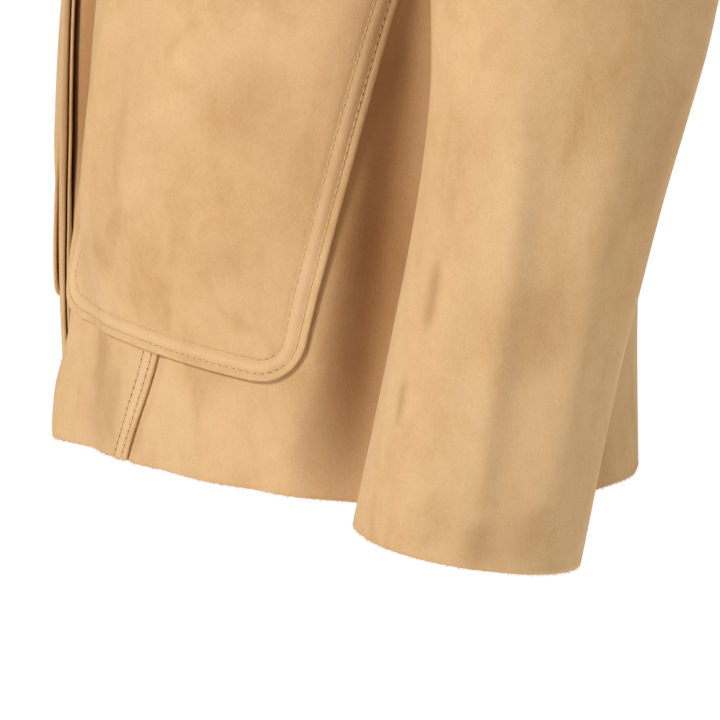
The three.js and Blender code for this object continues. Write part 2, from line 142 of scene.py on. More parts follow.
def arcRow(height, behind):
    at = np.clip((height - arcHeights[0]) / (arcHeights[1] - arcHeights[0]), 0, len(arcHeights) - 1.001)
    low = at.astype(int)
    share = (at - low)[:, None]
    return arcs[behind][low] * (1 - share) + arcs[behind][low + 1] * share


# Cloth distance from the centre front, or back, to a turn; minus on the wearer's right
def distanceTo(turn, height, behind=False):
    turn, height = (a.ravel() * 1.0 for a in np.broadcast_arrays(turn, height))
    own = np.abs(turn)
    own = np.pi - own if behind else own
    row = arcRow(height, behind)
    at = np.clip(own / (arcTurns[1] - arcTurns[0]), 0, len(arcTurns) - 1.001)
    k = at.astype(int)
    n = np.arange(len(own))
    return np.where(turn < 0, -1, 1) * (row[n, k] + (row[n, k + 1] - row[n, k]) * (at - k))


# The turn that such a distance reaches
def turnAfter(distance, height, behind=False):
    shape = np.broadcast(distance, height).shape
    distance, height = (a.ravel() * 1.0 for a in np.broadcast_arrays(distance, height))
    row = arcRow(height, behind)
    goal = np.abs(distance)
    k = np.clip((row < goal[:, None]).sum(1), 1, len(arcTurns) - 1)
    n = np.arange(len(goal))
    share = np.clip((goal - row[n, k - 1]) / (row[n, k] - row[n, k - 1]), 0, 1)
    own = (k - 1 + share) * (arcTurns[1] - arcTurns[0])
    own = np.pi - own if behind else own
    return (np.where(distance < 0, -1, 1) * own).reshape(shape)


# Worn cloth: the torso with the ridge of the closed front, height * exp(-distance / reach)
def worn(turn, height):
    point = bare(turn, height)
    f = bodyForm
    away = np.hypot(point[..., 0] - f["ridgeAcross"], f["ridgeSoftness"]) - f["ridgeSoftness"]
    fade = 1 - eased(f["ridgeFadeLow"], f["ridgeFadeHigh"], point[..., 2])
    rise = f["ridgeHeight"] * fade * np.exp(-away / f["ridgeReach"])
    point[..., 1] -= np.where(np.cos(turn) > 0, rise, 0)
    return point


def wornNormal(turn, height):
    low = np.minimum(height, -1)
    alongTurn = worn(turn + 0.01, low) - worn(turn - 0.01, low)
    alongHeight = worn(turn, low + 1) - worn(turn, low - 1)
    return unit(np.cross(alongTurn, alongHeight))


# Soft folds of the worn body: from and to as (turn in degrees, height), then
# width, depth (plus is a ridge, minus a trough) and a sideways bow, in millimetres
bodyFolds = {
    "alongTurn": 3.0,            # millimetres of cloth per degree of turn
    "folds": [
        # wearer's left front and side, as the photograph shows them
        (76, -470, 61, -655, 12, 3.0, 2), (88, -360, 73, -665, 20, -11.0, -3),
        (3, -545, 2, -660, 7, 2.2, 0), (12, -560, 11, -660, 9, -2.6, 1),
        (34, -585, 31, -660, 11, -1.6, 2), (47, -590, 43, -660, 13, 1.6, 0),
        (55, -600, 53, -660, 9, -1.2, 0), (97, -330, 102, -655, 16, 4.0, 4),
        (113, -420, 110, -655, 14, -4.0, -3),
        # the right side, alike but not the same
        (-72, -450, -64, -655, 13, 3.2, -3), (-84, -360, -75, -655, 16, -6.0, 3),
        (-99, -350, -104, -655, 17, 3.6, 2), (-116, -430, -112, -655, 12, -3.8, 3),
        (-38, -590, -34, -660, 12, -1.8, -2), (-50, -600, -47, -660, 12, 1.4, 0),
        # back: long flutes that open to the hem, and drag lines over the waist
        (142, -300, 138, -655, 20, 4.5, 5), (157, -360, 160, -655, 15, -4.5, -3),
        (174, -330, 171, -655, 19, 4.0, 4), (-166, -400, -169, -655, 14, -4.2, 2),
        (-150, -290, -147, -655, 21, 4.6, -4), (-132, -380, -135, -655, 13, -3.6, 3),
        (128, -262, 168, -318, 9, -2.6, 6), (-126, -270, -160, -335, 10, -2.8, -6),
        (150, -232, 182, -262, 8, 1.8, 4), (-120, -318, -152, -352, 8, 1.6, -4),
        # chest and underarm: soft drags toward the sleeve
        (68, -232, 40, -322, 10, -2.6, 5), (60, -212, 34, -262, 8, 1.8, 3),
        (-66, -236, -42, -330, 11, -2.8, -5), (-58, -216, -30, -258, 8, 1.6, -3),
        (84, -244, 76, -330, 9, 2.2, 2), (-86, -242, -80, -322, 9, 2.4, -2),
        (30, -380, 12, -330, 9, -1.6, 3), (-26, -372, -10, -318, 9, -1.5, 3),
    ],
}


# Each fold: depth * exp(-(distance from its bowed line / width)^2), fading to both ends
def foldRise(folds, across, up):
    rise = np.zeros(np.broadcast(across, up).shape)
    for x0, y0, x1, y1, width, depth, bow in folds:
        length = np.hypot(x1 - x0, y1 - y0)
        ux, uy = (x1 - x0) / length, (y1 - y0) / length
        along = ((across - x0) * ux + (up - y0) * uy) / length
        off = (across - x0) * uy - (up - y0) * ux
        off = off - bow * np.sin(np.pi * np.clip(along, 0, 1))
        ends = eased(-0.12, 0.3, along) * (1 - eased(0.7, 1.12, along))
        rise += depth * np.exp(-(off / width) ** 2) * ends
    return rise


def bodyRise(turn, height):
    scale = bodyFolds["alongTurn"]
    folds = [(a * scale, b, c * scale, d, w, depth, bow)
             for a, b, c, d, w, depth, bow in bodyFolds["folds"]]
    turnMm = np.asarray(turn) / deg * scale
    round360 = 360 * scale
    rise = foldRise(folds, turnMm, height)
    rise += foldRise(folds, turnMm + round360, height) + foldRise(folds, turnMm - round360, height)
    return rise


def placed(turn, height, offset):
    turn, height = np.broadcast_arrays(turn, height)
    normal = wornNormal(turn, height)
    return worn(turn, height) + normal * (offset + bodyRise(turn, height))[..., None], normal


# How far each front lies out of the worn form: the left one goes under the right one
def parted(height):
    return eased(-frontForm["clearFrom"], -frontForm["clearTo"], -height)


def leftOffset(across, height):
    f = frontForm
    drop = 2 * cloth["wall"] + cloth["facingGap"] + cloth["frontsGap"]
    under = drop * (1 - eased(f["blendFrom"], f["blendTo"], across))
    kicked = f["kick"] * eased(-f["kickFrom"], -f["kickTo"], -height)
    nearEdge = np.exp(-np.maximum(across + f["lapWidth"], 0) / f["kickReach"])
    valley = np.exp(-((across - f["valleyAcross"]) / f["valleyReach"]) ** 2)
    valley = f["valley"] * valley * eased(f["valleyLow"], f["valleyHigh"], height)
    return -under * (1 - parted(height)) + kicked * nearEdge - valley


def rightOffset(across, height):
    f = frontForm
    nearEdge = np.exp(-np.maximum(f["lapWidth"] - across, 0) / f["kickReach"])
    settled = (eased(f["settleFrom"], f["settleTo"], -across)
               * (1 - eased(f["settleEndFrom"], f["settleEndTo"], -across)))
    return -f["rightDip"] * parted(height) * nearEdge - f["settle"] * settled


fronts = {
    "left": {"side": 1, "hemPass": frontForm["passLeft"], "offset": leftOffset},
    "right": {"side": -1, "hemPass": frontForm["passRight"], "offset": rightOffset},
}


# Border lines of the body, on the wearer's left, as (turn, height)
def hemAt(turn):
    lift = np.maximum(np.cos(turn), 0) ** (4 / bodyForm["roundness"])
    return bodyForm["hemHeight"] + bodyForm["hemRise"] * lift


def shoulderSpot(share):
    return quarter + 0 * share, bodyForm["shoulderTip"] * share


def rowShare(row):
    return (row / rowsForm["bodyRows"]) ** rowsForm["crowding"]


def neckSpot(degrees, drop, behind=False):
    height = -drop * np.cos(degrees * deg)
    turn = turnAtWidth(bodyForm["neckHalfWidth"] * np.sin(degrees * deg), height)
    return (np.pi - turn if behind else turn), height


# Armhole: an egg in the side view, its degrees counted from the shoulder tip round the front
def armholeSpot(degrees):
    middle = (bodyForm["shoulderTip"] + bodyForm["underarm"]) / 2
    height = middle + (bodyForm["shoulderTip"] - middle) * np.cos(degrees * deg)
    forward = rowsForm["armholeHalfWidth"] * np.sin(degrees * deg)
    depth = np.where(forward > 0, column(bodyForm["levels"], 2, height), column(bodyForm["levels"], 3, height))
    return np.arccos(powered(forward / depth, bodyForm["roundness"] / 2)), height


seamTop = armholeSpot(np.float64(frontForm["seamAtArmhole"]))
seamFoot = float(turnAfter(column(frontForm["seam"], 1, bodyForm["hemHeight"]), bodyForm["hemHeight"]))


def seamSpot(row, shift):
    low = hemAt(seamFoot)
    height = mix(low, seamTop[1], rowShare(row))
    free = turnAfter(column(frontForm["seam"], 1, height) + shift, height)
    meet = seamTop[0] + shift / column(bodyForm["levels"], 1, height)
    return mix(free, meet, eased(frontForm["seamJoin"], seamTop[1], height)), height


def edgeSpot(front, share):
    f = frontForm
    hem = hemAt(turnAtWidth(-front["hemPass"], bodyForm["hemHeight"]))
    neck = -bodyForm["neckDropFront"] * np.sqrt(1 - (f["lapWidth"] / bodyForm["neckHalfWidth"]) ** 2)
    height = mix(hem, neck, share)
    across = -mix(f["lapWidth"], front["hemPass"], eased(-f["partTop"], -f["partLow"], -height))
    return turnAtWidth(across, height), height


# How far along the end border each of its rows lies; rows on the armhole count less
def lengthShares(end, rows):
    fineRow = np.arange(rows + 1.0)
    turn, height = end(fineRow)
    steps = np.linalg.norm(np.diff(bare(turn, height), axis=0), axis=-1)
    steps = steps * np.where(np.arange(1, rows + 1) > rowsForm["bodyRows"], rowsForm["armholeShare"], 1)
    gone = np.concatenate([[0], np.cumsum(steps)])
    return gone / gone[-1]


# Panel between four border lines: a Coons fill in the flat, cloth distance and height,
# start + end mixed across, low + high mixed upward, less the four corners' own mix
def panelSurface(s, row, rows, border, side, behind, offsetAt):
    t = np.interp(row, np.arange(rows + 1), lengthShares(border["end"], rows))
    lines = {"start": border["start"](row, t), "end": border["end"](row),
             "low": border["low"](s), "high": border["high"](s)}
    corners = {"low": border["low"](np.array([0.0, 1.0])), "high": border["high"](np.array([0.0, 1.0]))}
    flat = {}
    for key, (turn, height) in list(lines.items()) + [(k + "Ends", v) for k, v in corners.items()]:
        flat[key] = (distanceTo(turn, height, behind), height * 1.0)
    S, T = s[None, :], t[:, None]
    filled = []
    for k in (0, 1):
        start, end, low, high = (flat[key][k] for key in ("start", "end", "low", "high"))
        l0, l1 = flat["lowEnds"][k]
        h0, h1 = flat["highEnds"][k]
        filled.append(mix(start[:, None], end[:, None], S) + mix(low[None, :], high[None, :], T)
                      - mix(mix(l0, l1, S), mix(h0, h1, S), T))
    height = np.minimum(filled[1], 0)
    turn = side * turnAfter(filled[0], height, behind)
    point, normal = placed(turn, height, offsetAt(turn, height))
    return {"point": point, "normal": normal, "turn": turn, "height": height}


# Mesh object on the one body, with its material and slot
def meshPiece(name, points, faces, material, smooth=True):
    mesh = bpy.data.meshes.new(name)
    mesh.from_pydata(points.tolist(), [], faces)
    if smooth:
        mesh.polygons.foreach_set("use_smooth", np.ones(len(faces), bool))
    mesh.materials.append(material)
    mesh.update()
    piece = bpy.data.objects.new(name, mesh)
    bpy.context.scene.collection.objects.link(piece)
    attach(piece, "root")
    return piece


# Closed thin shell: outer grid, the same grid one wall inward, and a rim that is round outward
def clothShell(name, piece, wall, material, values=None):
    outer, normal = piece["point"], piece["normal"]
    rows, cols = outer.shape[:2]
    inner = outer - normal * wall
    number = np.arange(rows * cols).reshape(rows, cols)
    edge = np.concatenate([number[0, :-1], number[:-1, -1], number[-1, :0:-1], number[:0:-1, 0]])
    inward = np.concatenate([number[1, :-1], number[:-1, -2], number[-2, :0:-1], number[:0:-1, 1]])
    flatOuter, flatInner = outer.reshape(-1, 3), inner.reshape(-1, 3)
    away = unit(flatOuter[edge] - flatOuter[inward])
    rim = (flatOuter[edge] + flatInner[edge]) / 2 + away * wall * 0.28
    points = np.concatenate([flatOuter, flatInner, rim]) * 0.001
    a, b, c, d = number[:-1, :-1], number[:-1, 1:], number[1:, 1:], number[1:, :-1]
    quads = np.stack([a, b, c, d], -1).reshape(-1, 4)
    m = (rows // 2, cols // 2)
    facing = np.cross(outer[m[0], m[1] + 1] - outer[m], outer[m[0] + 1, m[1]] - outer[m])
    n = rows * cols
    ring = np.arange(len(edge)) + 2 * n
    nextEdge, nextRing = np.roll(edge, -1), np.roll(ring, -1)
    sides = np.concatenate([np.stack([nextEdge, edge, ring, nextRing], -1),
                            np.stack([nextRing, ring, edge + n, nextEdge + n], -1)])
    faces = np.concatenate([quads, quads[:, ::-1] + n, sides])
    if np.dot(facing, normal[m]) < 0:
        faces = faces[:, ::-1]
    shell = meshPiece(name, points, faces.tolist(), material)
    for key, value in (values or {}).items():
        flatValue = np.broadcast_to(value, (rows, cols)).reshape(-1).astype(np.float32)
        layer = shell.data.attributes.new(key, "FLOAT", "POINT")
        layer.data.foreach_set("value", np.concatenate([flatValue, flatValue, flatValue[edge]]))
    return shell


# Prints the cut of a cloth piece: longest row, longest column and its own area, and hides its solid
def cutOf(made, piece, node):
    grid = piece["point"] * 0.001
    width = np.linalg.norm(np.diff(grid, axis=1), axis=-1).sum(1).max()
    length = np.linalg.norm(np.diff(grid, axis=0), axis=-1).sum(0).max()
    a, b, c, d = grid[:-1, :-1], grid[:-1, 1:], grid[1:, 1:], grid[1:, :-1]
    area = 0.5 * (np.linalg.norm(np.cross(b - a, c - a), axis=-1)
                  + np.linalg.norm(np.cross(c - a, d - a), axis=-1)).sum()
    area = min(area, width * length)
    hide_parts(node)
    print(f"{made.name}: cut {width * 1000:.0f} by {length * 1000:.0f} mm, {area * 10000:.0f} square cm")


# Parts of (from, to, count) joined into one rising row of values
def spread(*parts):
    values = [np.linspace(a, b, max(int(count * fine), 2) + 1)[1 if k else 0:]
              for k, (a, b, count) in enumerate(parts)]
    return np.concatenate(values)


# Centre panel of a front, its facing, and the side panel that goes under it
frontRows = rowsForm["bodyRows"] + int(frontForm["seamAtArmhole"] / rowsForm["armholeStep"])


def centreSurface(word, s, row, below=0.0):
    front = fronts[word]
    first = -np.arcsin(frontForm["lapWidth"] / bodyForm["neckHalfWidth"]) / deg
    neckShare = rowsForm["neckColumns"] / (rowsForm["neckColumns"] + rowsForm["shoulderColumns"])

    def end(r):
        seam = seamSpot(np.minimum(r, rowsForm["bodyRows"]), 0)
        hole = armholeSpot(frontForm["seamAtArmhole"] - (r - rowsForm["bodyRows"]) * rowsForm["armholeStep"])
        high = r > rowsForm["bodyRows"]
        return np.where(high, hole[0], seam[0]), np.where(high, hole[1], seam[1])

    def high(x):
        neck = neckSpot(mix(first, 90, np.minimum(x / neckShare, 1)), bodyForm["neckDropFront"])
        tip = shoulderSpot(np.maximum((x - neckShare) / (1 - neckShare), 0))
        return np.where(x <= neckShare, neck[0], tip[0]), np.where(x <= neckShare, neck[1], tip[1])

    def low(x):
        turn = mix(edgeSpot(front, 0.0)[0], seamFoot, x)
        return turn, hemAt(turn)

    border = {"start": lambda r, t: edgeSpot(front, t), "end": end, "low": low, "high": high}
    offsetAt = lambda turn, height: front["offset"](bare(turn, height)[..., 0], height) - below
    return panelSurface(s, row, frontRows, border, front["side"], False, offsetAt)


# Columns of the side panel: its first ones lie under the centre panel, then it comes level
def sideSurface(word, column01, row):
    front, f = fronts[word], frontForm
    plain = int((180 - f["seamAtArmhole"]) / rowsForm["armholeStep"])
    at = column01 * (plain + 2)
    marks = np.arange(plain + 3)
    shift = np.interp(at, marks, [-f["lapUnder"], 1] + [f["lapEase"]] * (plain + 1))[None, :]
    share = np.interp(at, marks, [0, 0] + list(np.arange(plain + 1) / plain))[None, :]
    hole = np.interp(at, marks, [f["seamAtArmhole"] - f["lapUnderDegrees"], f["seamAtArmhole"] + 1]
                     + [f["seamAtArmhole"] + rowsForm["armholeStep"] / 2]
                     + [f["seamAtArmhole"] + k * rowsForm["armholeStep"] for k in range(1, plain + 1)])[None, :]
    under = cloth["wall"] + cloth["lapGap"]
    below = under * (1 - eased(1, f["lapEase"], shift))
    r = row[:, None]

    def spotAt(line):
        seamTurn, seamHeight = seamSpot(line, shift)
        turn = mix(seamTurn, quarter, share)
        sideHigh = mix(hemAt(turn), bodyForm["underarm"], rowShare(line))
        return turn, mix(seamHeight + 0 * shift, sideHigh, share)

    turn, height = spotAt(r)
    topTurn, topHeight = spotAt(np.array([[float(rowsForm["bodyRows"])]]))
    goalTurn, goalHeight = armholeSpot(hole)
    meet = (r / rowsForm["bodyRows"]) ** 4
    turn = front["side"] * (turn + meet * (goalTurn - topTurn))
    height = height + meet * (goalHeight - topHeight)
    point, normal = placed(turn, height, front["offset"](bare(turn, height)[..., 0], height) - below)
    return {"point": point, "normal": normal, "turn": turn, "height": height}


# The back, side seam to side seam: s from 0 on the wearer's right to 1 on the left
def backSurface(s, row):
    half = rowsForm["neckColumns"] + rowsForm["shoulderColumns"]
    neckShare = rowsForm["neckColumns"] / half
    rows = rowsForm["bodyRows"] + int(180 / rowsForm["armholeStep"])

    def end(r):
        low = mix(hemAt(quarter), bodyForm["underarm"], rowShare(np.minimum(r, rowsForm["bodyRows"])))
        hole = armholeSpot(180 + (r - rowsForm["bodyRows"]) * rowsForm["armholeStep"])
        high = r > rowsForm["bodyRows"]
        return np.where(high, hole[0], quarter), np.where(high, hole[1], low)

    def start(r, t):
        turn, height = end(r)
        return -turn, height

    def high(x):
        k = np.abs(2 * x - 1)
        neck = neckSpot(90 * np.minimum(k / neckShare, 1), bodyForm["neckDropBack"], True)
        tip = shoulderSpot(np.maximum((k - neckShare) / (1 - neckShare), 0))
        turn = np.where(k <= neckShare, neck[0], tip[0])
        return np.where(x < 0.5, -1, 1) * turn, np.where(k <= neckShare, neck[1], tip[1])

    def low(x):
        turn = np.pi - quarter * np.abs(2 * x - 1)
        return np.where(x < 0.5, -1, 1) * turn, hemAt(turn)

    border = {"start": start, "end": end, "low": low, "high": high}
    return panelSurface(s, row, rows, border, 1, True, lambda turn, height: 0 * turn)


# Sleeve sections: height, across, back, half across, half back, tilt of the outer side and of the back
sleeveForm = {
    "levels": [(-250, 234, 20, 45, 63, -9, -3), (-325, 246, 26, 46, 66, -5, 0),
               (-405, 256, 11, 46, 63, 0, 5), (-452, 257, 4, 45, 57, 2, 8),
               (-500, 255, -5, 44, 53, 3, 8.6), (-567, 251.5, -19, 43, 51, 5, 8.6),
               (-646, 246, -34.4, 44, 50.7, 6.5, 8.6)],
    "roundness": 2.15, "capRows": 5, "armRows": 11, "seamDegrees": 120, "capPull": 0.85,
    # folds along the arm: from and to as (degrees round, height), width, depth, bow
    "alongDegree": 0.95,
    "folds": [
        (31, -430, 13, -650, 8, 2.3, 2), (9, -450, 0, -650, 12, -1.9, -2),
        (-9, -420, -22, -640, 11, 1.8, 3), (-29, -410, -36, -600, 9, -1.7, 2),
        (56, -420, 46, -640, 12, 1.2, 0), (66, -470, 60, -560, 7, -1.4, 1),
        (-52, -300, -58, -470, 12, 2.0, 4), (-75, -350, -80, -640, 12, -2.2, -3),
        (95, -300, 80, -395, 9, -2.4, 4), (110, -340, 84, -430, 8, 2.0, 4),
        (128, -330, 92, -372, 7, -1.9, 5), (-100, -420, -96, -640, 12, 2.0, 2),
        (150, -380, 146, -640, 14, -2.4, 3), (185, -300, 190, -640, 15, 2.2, -4),
        (30, -150, 12, -300, 11, 1.8, 3), (58, -150, 40, -290, 10, -2.0, 3),
        (-26, -140, -12, -310, 12, -1.8, -3), (-60, -150, -44, -280, 10, 1.8, 2),
    ],
}


def sleeveRing(degrees, height):
    value = [column(sleeveForm["levels"], k, height) for k in range(1, 7)]
    power = 2 / sleeveForm["roundness"]
    out = powered(np.cos(degrees * deg), power) * value[2]
    back = -powered(np.sin(degrees * deg), power) * value[3]
    drop = out * np.tan(value[4] * deg) + back * np.tan(value[5] * deg)
    return np.stack([value[0] + out, value[1] + back, height - drop], -1)


# Sleeve: its head is a cubic from the armhole to the first section, then it follows the sections
def sleevePoint(degrees, row):
    f = sleeveForm
    degrees, row = np.broadcast_arrays(degrees, row)
    top, cuff = f["levels"][0][0], f["levels"][-1][0]
    below = sleeveRing(degrees, mix(top, cuff, np.maximum(row - f["capRows"], 0) / f["armRows"]))
    turn, height = armholeSpot(degrees)
    low = (1 - np.cos(degrees * deg)) / 2
    leave = unit(np.stack([mix(0.94, 0.3, low), -0.25 * np.sin(degrees * deg), -mix(0.34, 0.95, low)], -1))
    start = bare(turn, height) + (wornNormal(turn, height) + leave) * cloth["armholeGap"]
    to = sleeveRing(degrees, top + 0 * degrees)
    arrive = unit(to - sleeveRing(degrees, top + 4 + 0 * degrees))
    pull = np.linalg.norm(to - start, axis=-1)[..., None] * f["capPull"]
    t = np.clip(row / f["capRows"], 0, 1)[..., None]
    head = (start * (2 * t**3 - 3 * t**2 + 1) + leave * pull * (t**3 - 2 * t**2 + t)
            + to * (3 * t**2 - 2 * t**3) + arrive * pull * (t**3 - t**2))
    return np.where((row >= f["capRows"])[..., None], below, head)


def sleeveSurface(side, degrees, row):
    D, R = degrees[None, :], row[:, None]
    point = sleevePoint(D, R)
    around = sleevePoint(D + 2, R) - sleevePoint(D - 2, R)
    along = sleevePoint(D, R + 0.02) - sleevePoint(D, np.maximum(R - 0.02, 0))
    normal = unit(np.cross(around, along))
    turned = D + 0 * R
    height = point[..., 2]
    scale = sleeveForm["alongDegree"]
    folds = [(a * scale, b, c * scale, d, w, depth, bow)
             for a, b, c, d, w, depth, bow in sleeveForm["folds"]]
    rise = foldRise(folds, turned * scale, height) + foldRise(folds, (turned - 360) * scale, height)
    rise = rise * eased(0, 2.5, R)
    point = point + normal * rise[..., None]
    flip = np.array([side, 1, 1])
    return {"point": point * flip, "normal": normal * flip, "degrees": turned, "height": height}


# Patch pocket in its own millimetres, across and up, tilted on the front with its bulge
pocketForm = {
    "width": 184, "height": 192, "corner": 22,
    "firstDistance": {"left": 8, "right": 24}, "firstHeight": -568.5,
    "slopeAcross": -0.096, "leanUp": 0.21, "riseUp": 0.975, "bow": 1.8,
    "bulge": {"left": 14, "right": 3},
    "bulgeFoot": 45, "edgeFlat": 4, "stitchRows": (3.7, 10.2), "rowDepth": 0.55, "bandLift": 0.45,
    # folds on the pocket alone: from and to as (across, up), width, depth, bow
    "folds": [
        (44, 185, 36, 38, 10, 2.6, 1), (60, 170, 62, 60, 12, -1.8, 2),
        (60, 82, 84, 63, 4.5, -1.7, 1.5), (82, 64, 100, 71, 4.0, -1.2, -1.5),
        (66, 90, 92, 76, 6, 1.3, 2), (97, 72, 134, 91, 5.5, 1.8, 2), (98, 62, 138, 80, 6, -1.1, 2),
        (152, 195, 118, 84, 20, -2.6, 6), (96, 190, 108, 118, 16, 1.8, 3),
        (58, 46, 116, 30, 11, -1.6, 3), (130, 52, 172, 40, 12, 1.2, 3),
    ],
}


# Distance in from the pocket's outline: the nearest of both sides and the foot, round in the corners
def pocketInset(across, up):
    f = pocketForm
    side = np.minimum(across, f["width"] - across)
    near = np.minimum(side, up)
    inCorner = (side < f["corner"]) & (up < f["corner"])
    return np.where(inCorner, f["corner"] - np.hypot(f["corner"] - side, f["corner"] - up), near)


def pocketPlace(word, across, up):
    f, front = pocketForm, fronts[word]
    distance = f["firstDistance"][word] + across + f["leanUp"] * up
    height = (f["firstHeight"] + f["slopeAcross"] * across + f["riseUp"] * up
              + f["bow"] * np.sin(np.pi * across / f["width"]))
    half = f["width"] / 2
    sides = eased(f["edgeFlat"], half, across) * eased(f["edgeFlat"], half, f["width"] - across)
    rise = f["bulge"][word] * np.sqrt(sides) * eased(f["edgeFlat"], f["bulgeFoot"], up)
    rise = rise + foldRise(f["folds"], across, up) * eased(8, 30, pocketInset(across, up))
    turn = front["side"] * turnAfter(distance, height)
    on = front["offset"](bare(turn, height)[..., 0], height)
    return turn, height, on + cloth["pocketSeat"] + cloth["wall"] + rise


# Soft groove along each stitch row and a padded band between the two rows
def sewnRelief(inset, rows, depth, lift):
    groove = sum(np.exp(-((inset - row) / 0.9) ** 2) for row in rows)
    middle, halfBand = (rows[0] + rows[1]) / 2, (rows[1] - rows[0]) / 2
    band = np.exp(-((inset - middle) / (halfBand * 0.62)) ** 2)
    return lift * band - depth * groove, band


def pocketSurface(word, across01, up01):
    f = pocketForm
    up = f["height"] * up01[:, None] + 0 * across01[None, :]
    round0 = np.maximum(f["corner"] - up, 0)
    inset = f["corner"] - np.sqrt(f["corner"] ** 2 - round0 ** 2)
    across = mix(inset, f["width"] - inset, across01[None, :])
    turn, height, offset = pocketPlace(word, across, up)
    relief, band = sewnRelief(pocketInset(across, up), f["stitchRows"], f["rowDepth"], f["bandLift"])
    point, normal = placed(turn, height, offset + relief)
    return {"point": point, "normal": normal, "turn": turn, "height": height,
            "band": band, "across": across, "up": up}


# Stitches: a capsule of thread and a dark needle hole, copied along a line of points
stitchForm = {"pitch": 3.9, "length": 2.9, "thick": 0.85, "sink": 0.12, "hole": 0.85}


# Even steps along a line, by its running length
def evenly(line, normal, pitch):
    gone = np.concatenate([[0], np.cumsum(np.linalg.norm(np.diff(line, axis=0), axis=-1))])
    count = int(gone[-1] / pitch)
    at = (np.arange(count) + 0.5) * gone[-1] / count
    pick = lambda values, where: np.stack([np.interp(where, gone, values[:, k]) for k in range(3)], -1)
    middle = pick(line, at)
    along = unit(pick(line, np.minimum(at + 0.8, gone[-1])) - pick(line, np.maximum(at - 0.8, 0)))
    up = unit(pick(normal, at))
    return middle, along, unit(up - along * (up * along).sum(-1, keepdims=True))


# Round grain: rings of radius sin(a) * thick at length cos(a), laid in (along, side, up) at each place
def grains(name, places, length, thick, flat, lift, material, rings=5, sides=6):
    a = np.linspace(0, np.pi, rings + 2)[1:-1]
    b = np.arange(sides) * 2 * np.pi / sides
    body = np.stack([np.repeat(np.cos(a), sides) * length / 2,
                     np.outer(np.sin(a) ** 0.7, np.cos(b)).ravel() * thick / 2,
                     np.outer(np.sin(a) ** 0.7, np.sin(b)).ravel() * flat / 2 + lift], -1)
    tips = np.array([[length / 2, 0, lift], [-length / 2, 0, lift]])
    local = np.concatenate([body, tips])
    faces = []
    for i in range(rings - 1):
        for j in range(sides):
            k = (j + 1) % sides
            faces.append((i * sides + j, i * sides + k, (i + 1) * sides + k, (i + 1) * sides + j))
    for j in range(sides):
        k = (j + 1) % sides
        faces.append((len(body), k, j))
        faces.append((len(body) + 1, (rings - 1) * sides + j, (rings - 1) * sides + k))
    middle, along, up = (np.concatenate([p[i] for p in places]) for i in range(3))
    side = np.cross(up, along)
    points = (middle[:, None] + local[None, :, 0:1] * along[:, None] + local[None, :, 1:2] * side[:, None]
              + local[None, :, 2:3] * up[:, None]).reshape(-1, 3) * 0.001
    step = len(local)
    allFaces = []
    for m in range(len(middle)):
        allFaces += [tuple(v + m * step for v in face) for face in faces]
    return meshPiece(name, points, allFaces, material)


def sew(name, lines, material, holeMaterial):
    f = stitchForm
    places = [evenly(line, normal, f["pitch"]) for line, normal in lines]
    grains(name, places, f["length"], f["thick"], f["thick"], f["sink"], material)
    holes = [(p + a * f["pitch"] / 2, a, u) for p, a, u in places]
    grains(name + "_holes", holes, f["hole"] * 1.5, f["hole"] * 1.5, 0.22, 0.0, holeMaterial, rings=3)


# Line along a grid, a cloth distance in from the last column, over some of its rows
def insetLine(piece, inset, rows):
    grid, normal = piece["point"][:rows, ::-1], piece["normal"][:rows, ::-1]
    gone = np.cumsum(np.linalg.norm(np.diff(grid, axis=1), axis=-1), 1)
    gone = np.concatenate([np.zeros((len(grid), 1)), gone], 1)
    pick = lambda values: np.stack([[np.interp(inset, gone[i], values[i, :, k]) for k in range(3)]
                                    for i in range(len(grid))])
    return pick(grid), unit(pick(normal))


# Shader maths: one socket of a material, with + - * / ** that add Math nodes
class Shade:
    def __init__(self, tree, socket):
        self.tree, self.socket = tree, socket

    # Adds a node: its settings first, then the values or links of its inputs
    def make(self, kind, settings=None, inputs=None, output=0):
        node = self.tree.nodes.new(kind)
        for key, value in (settings or {}).items():
            if key == "stops":
                ramp = node.color_ramp
                while len(ramp.elements) < len(value):
                    ramp.elements.new(0.5)
                for element, (at, colour) in zip(ramp.elements, value):
                    element.position, element.color = at, colour
            else:
                setattr(node, key, value)
        for key, value in (inputs or {}).items():
            if isinstance(value, Shade):
                self.tree.links.new(value.socket, node.inputs[key])
            else:
                node.inputs[key].default_value = value
        return Shade(self.tree, node.outputs[output])

    def maths(self, operation, first, second=0.0):
        return self.make("ShaderNodeMath", {"operation": operation}, {0: first, 1: second})

    def __add__(self, other): return self.maths("ADD", self, other)
    def __radd__(self, other): return self.maths("ADD", other, self)
    def __sub__(self, other): return self.maths("SUBTRACT", self, other)
    def __rsub__(self, other): return self.maths("SUBTRACT", other, self)
    def __mul__(self, other): return self.maths("MULTIPLY", self, other)
    def __rmul__(self, other): return self.maths("MULTIPLY", other, self)
    def __truediv__(self, other): return self.maths("DIVIDE", self, other)
    def __rtruediv__(self, other): return self.maths("DIVIDE", other, self)
    def __pow__(self, other): return self.maths("POWER", self, other)

    # 0 below low, 1 above high
    def ramp(self, low, high):
        return self.make("ShaderNodeMapRange", {"interpolation_type": "SMOOTHSTEP"},
                         {0: self, 1: low, 2: high, 3: 0.0, 4: 1.0})

    # Colour a where self is 0, colour b where it is 1
    def blend(self, a, b):
        return self.make("ShaderNodeMix", {"data_type": "RGBA"}, {0: self, 6: a, 7: b}, 2)

    def noise(self, place, scale, detail=2.0, roughness=0.5, distortion=0.0):
        return self.make("ShaderNodeTexNoise", {}, {
            "Vector": place, "Scale": scale, "Detail": detail, "Roughness": roughness,
            "Distortion": distortion})

    def stretched(self, place, scale):
        return self.make("ShaderNodeMapping", {"vector_type": "POINT"}, {"Vector": place, "Scale": scale})


